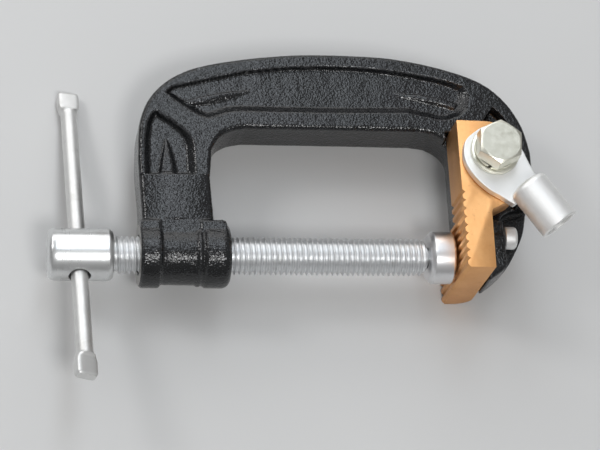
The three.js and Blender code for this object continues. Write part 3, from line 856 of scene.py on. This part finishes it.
def build_head(material):
    """Plain round head with rounded rims and a cross hole for the handle."""
    s, e, r = HEAD_START + 0.03, HEAD_END, HEAD_R
    profile = rounded([(s, 0.02), (s, r - 1.75), (s + 1.5, r - 0.25), (s + 3.4, r), (e - 2.1, r),
                       (e - 0.4, r - 1.2), (e, r - 2.4), (e, 7.75), (HEAD_END + 1.3, 7.7),
                       (HEAD_END + 1.3, 0.02)], 0.7, 5)
    ob = lathe_x("screw_head", profile, 144)
    mouth = [(10.2, HOLE_R), (11.2, HOLE_R + 0.2), (12.2, HOLE_R + 0.5), (12.9, HOLE_R + 0.8),
             (20, HOLE_R + 1.1)]
    angles = [2 * math.pi * j / 72 for j in range(72)]
    rings = [bar_points([(hole * math.cos(a), y, hole * math.sin(a)) for a in angles])
             for y, hole in [(-y, hole) for y, hole in mouth[::-1]] + mouth]
    cut(ob, rings_mesh("tool", rings))
    sharpen(ob, 33)
    return finish_piece(ob, material, "screw_zinc", "screw")


def smoothstep(t):
    """Eases a single number from 0 to 1."""
    t = min(1.0, max(0.0, t))
    return t * t * (3 - 2 * t)


def build_bar(material):
    """A rod whose two ends are squashed flat, with a step where the press bit in."""
    around = 64
    rings = []

    def ring(y, wide, thick, power, turn):
        """One section: a circle at power 2 that grows squarer as the power rises."""
        row = []
        ct, st = math.cos(math.radians(turn)), math.sin(math.radians(turn))
        for j in range(around):
            a = 2 * math.pi * j / around
            c, s = math.cos(a), math.sin(a)
            x = wide * math.copysign(abs(c) ** (2 / power), c)
            z = thick * math.copysign(abs(s) ** (2 / power), s)
            row.append((x * ct + z * st, y, -x * st + z * ct))
        rings.append(bar_points(row))

    def end_section(d, turn, sign, y_end):
        """One section at distance d from the bar's end."""
        flat = smoothstep((11.0 - d) / 1.2)
        bulge = smoothstep((12.5 - d) / 5.0)
        wide = BAR_R + 1.35 * bulge - 0.7 * smoothstep((1.4 - d) / 1.4)
        thick = BAR_R - 1.25 * flat - 0.6 * smoothstep((1.2 - d) / 1.2)
        power = 2 + 3.4 * smoothstep((12.0 - d) / 2.4)
        ring(y_end - sign * d, wide, thick, power, turn)

    distances = [0.0, 0.25, 0.6, 1.1, 1.8, 3, 4.5, 6, 7.5, 8.6, 9.3, 9.7, 10.1, 10.5, 10.9, 11.4, 12,
                 12.8, 14]
    for d in distances:
        end_section(d, NEAR_TURN, -1, BAR_NEAR)
    for y in np.linspace(BAR_NEAR + 16, BAR_FAR - 16, 60):
        t = (y - BAR_NEAR) / (BAR_FAR - BAR_NEAR)
        ring(y, BAR_R, BAR_R, 2, NEAR_TURN + (FAR_TURN - NEAR_TURN) * t)
    for d in distances[::-1]:
        end_section(d, FAR_TURN, 1, BAR_FAR)
    ob = rings_mesh("tommy_rod", rings)
    co = coords(ob.data)
    dent = 0.03 * lumps(to_drawing(co), 6.0, 9)
    set_coords(ob.data, co + normals(ob.data) * (dent[:, None] / 1000))
    sharpen(ob, 38)
    return finish_piece(ob, material, "bar_zinc", "bar", "tommy_bar")


def build_pad(material):
    """Round pad with chamfered rims, a shallow face and a socket for the screw's tip."""
    profile = rounded([(80.2, 4.9), (PAD_START, 4.9), (PAD_START, 10.9), (81.2, PAD_R), (90.4, PAD_R),
                       (PAD_END, 11.9), (PAD_END, 9.5), (91.0, 9.3), (91.0, 0.02)], 0.4, 4)
    inside = [(87.6, 0.02), (87.6, 4.85), (86.2, 4.85), (86.2, 6.6), (84.0, 6.6), (84.0, 4.85), (80.2, 4.85)]
    ob = lathe_x("pressure_foot", inside + profile, 120)
    sharpen(ob, 33)
    return finish_piece(ob, material, "pad_zinc", "pad", "pressure_pad")


enamel = enamel_material()
machined = machined_material()
copper = copper_material()
tin = tin_material()
nickel = nickel_material()
screw_zinc = zinc_material("screw_zinc_plate", (0.80, 0.81, 0.82), (0.34, 0.48))
# The head gets a darker copy of the screw's zinc plate, on the same steel: painted shade.
head_zinc = zinc_material("head_zinc_plate", (0.74, 0.75, 0.75), (0.24, 0.36), smudge=0.5, groove=0.8)
bar_zinc = zinc_material("bar_zinc_plate", (0.77, 0.77, 0.76), (0.42, 0.54), turned=False)
pad_zinc = zinc_material("pad_zinc_plate", (0.82, 0.82, 0.83), (0.26, 0.40))
small_zinc = zinc_material("cap_screw_plate", (0.92, 0.92, 0.91), (0.50, 0.62), turned=False, smudge=0.05)

build_casting(enamel)
build_boss_ring(machined)
build_jaw(copper)
build_jaw_screw(small_zinc)
build_bolt(nickel)
build_flat_washer(nickel)
build_spring_washer(nickel)
build_lug(tin)
build_thread(screw_zinc)
build_head(head_zinc)
build_bar(bar_zinc)
build_pad(pad_zinc)
snap_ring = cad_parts["snap_ring"]
snap_ring.data.materials.clear()
snap_ring.data.materials.append(small_zinc)


# ---------------------------------------------------------------- stage, light and camera
LIGHT_AIM = (0, 0, 0.02)
SENSOR_MM = 36.0
LENS_MM = 130.572954
CAMERA_PLACE = (-165.816, -349.679, 963.109)
CAMERA_RIGHT = Vector((0.9844193511, -0.0513360185, 0.1681759629))
CAMERA_DOWN = Vector((0.0115488461, -0.9354910492, -0.3531616075))
CAMERA_AHEAD = Vector((0.1754570188, 0.3496013588, -0.9203226198))


def floor_material():
    """Pale matt floor with a faint cloud."""
    m = Nodes("pale_floor")
    p = m.place(scale=(0.001, 0.001, 0.001))
    tone = m.noise(p, 6, 3, 0.5)
    m.set(Base_Color=m.mix(tone, (0.60, 0.60, 0.597), (0.64, 0.64, 0.637)), Roughness=0.7)
    return m.mat


def build_floor():
    """A wide level floor."""
    half = 7.0
    corners = [(-half, -half, 0), (half, -half, 0), (half, half, 0), (-half, half, 0)]
    floor = from_arrays("floor_plane", corners, [(0, 1, 2, 3)], already_row=True)
    if floor.data.polygons[0].normal.z < 0:
        floor.data.flip_normals()
    floor.data.materials.append(floor_material())


def area_light(name, place, size, power, colour=(1, 1, 1)):
    """A rectangular lamp aimed at the middle of the clamp, placed in metres."""
    data = bpy.data.lights.new(name, "AREA")
    data.shape = "RECTANGLE"
    data.size, data.size_y = size
    data.energy = power
    data.color = colour
    ob = bpy.data.objects.new(name, data)
    scene.collection.objects.link(ob)
    ob.location = place
    aim = Vector(LIGHT_AIM) - Vector(place)
    ob.rotation_euler = aim.to_track_quat("-Z", "Y").to_euler()


def build_world():
    """Soft room light, brighter overhead than at the horizon."""
    world = bpy.data.worlds.new("studio")
    scene.world = world
    world.use_nodes = True
    tree = world.node_tree
    place = tree.nodes.new("ShaderNodeTexCoord")
    split = tree.nodes.new("ShaderNodeSeparateXYZ")
    ramp = tree.nodes.new("ShaderNodeMapRange")
    ramp.interpolation_type = "SMOOTHSTEP"
    for key, value in (("From Min", -0.05), ("From Max", 0.75), ("To Min", 0.24), ("To Max", 0.38)):
        ramp.inputs[key].default_value = value
    tree.links.new(place.outputs["Generated"], split.inputs[0])
    tree.links.new(split.outputs[2], ramp.inputs["Value"])
    back = tree.nodes["Background"]
    back.inputs[0].default_value = (1, 1, 1, 1)
    tree.links.new(ramp.outputs[0], back.inputs[1])


def build_camera():
    """A long lens above the handle's side of the clamp, turned as the photo was taken."""
    data = bpy.data.cameras.new("photo_camera")
    data.sensor_fit = "HORIZONTAL"
    data.sensor_width = SENSOR_MM
    data.lens = LENS_MM
    data.clip_start = 0.05
    data.clip_end = 20.0
    camera = bpy.data.objects.new("photo_camera", data)
    scene.collection.objects.link(camera)
    turn = Matrix((CAMERA_RIGHT, -CAMERA_DOWN, -CAMERA_AHEAD)).transposed()
    camera.matrix_world = Matrix.Translation(to_row(CAMERA_PLACE)) @ turn.to_4x4()
    scene.camera = camera


build_floor()
area_light("overhead_softbox", (0.06, 0.62, 1.45), (0.34, 1.1), 4.4, (0.86, 0.93, 1.0))
area_light("back_window", (-0.25, 1.30, 0.78), (1.8, 0.8), 7.5)
area_light("front_lamp", (0.06, -0.60, 1.16), (0.26, 0.26), 4.4)
area_light("left_lamp", (-0.95, 0.45, 0.95), (0.30, 0.36), 3.6)
build_world()
build_camera()
scene.view_settings.view_transform = "Standard"

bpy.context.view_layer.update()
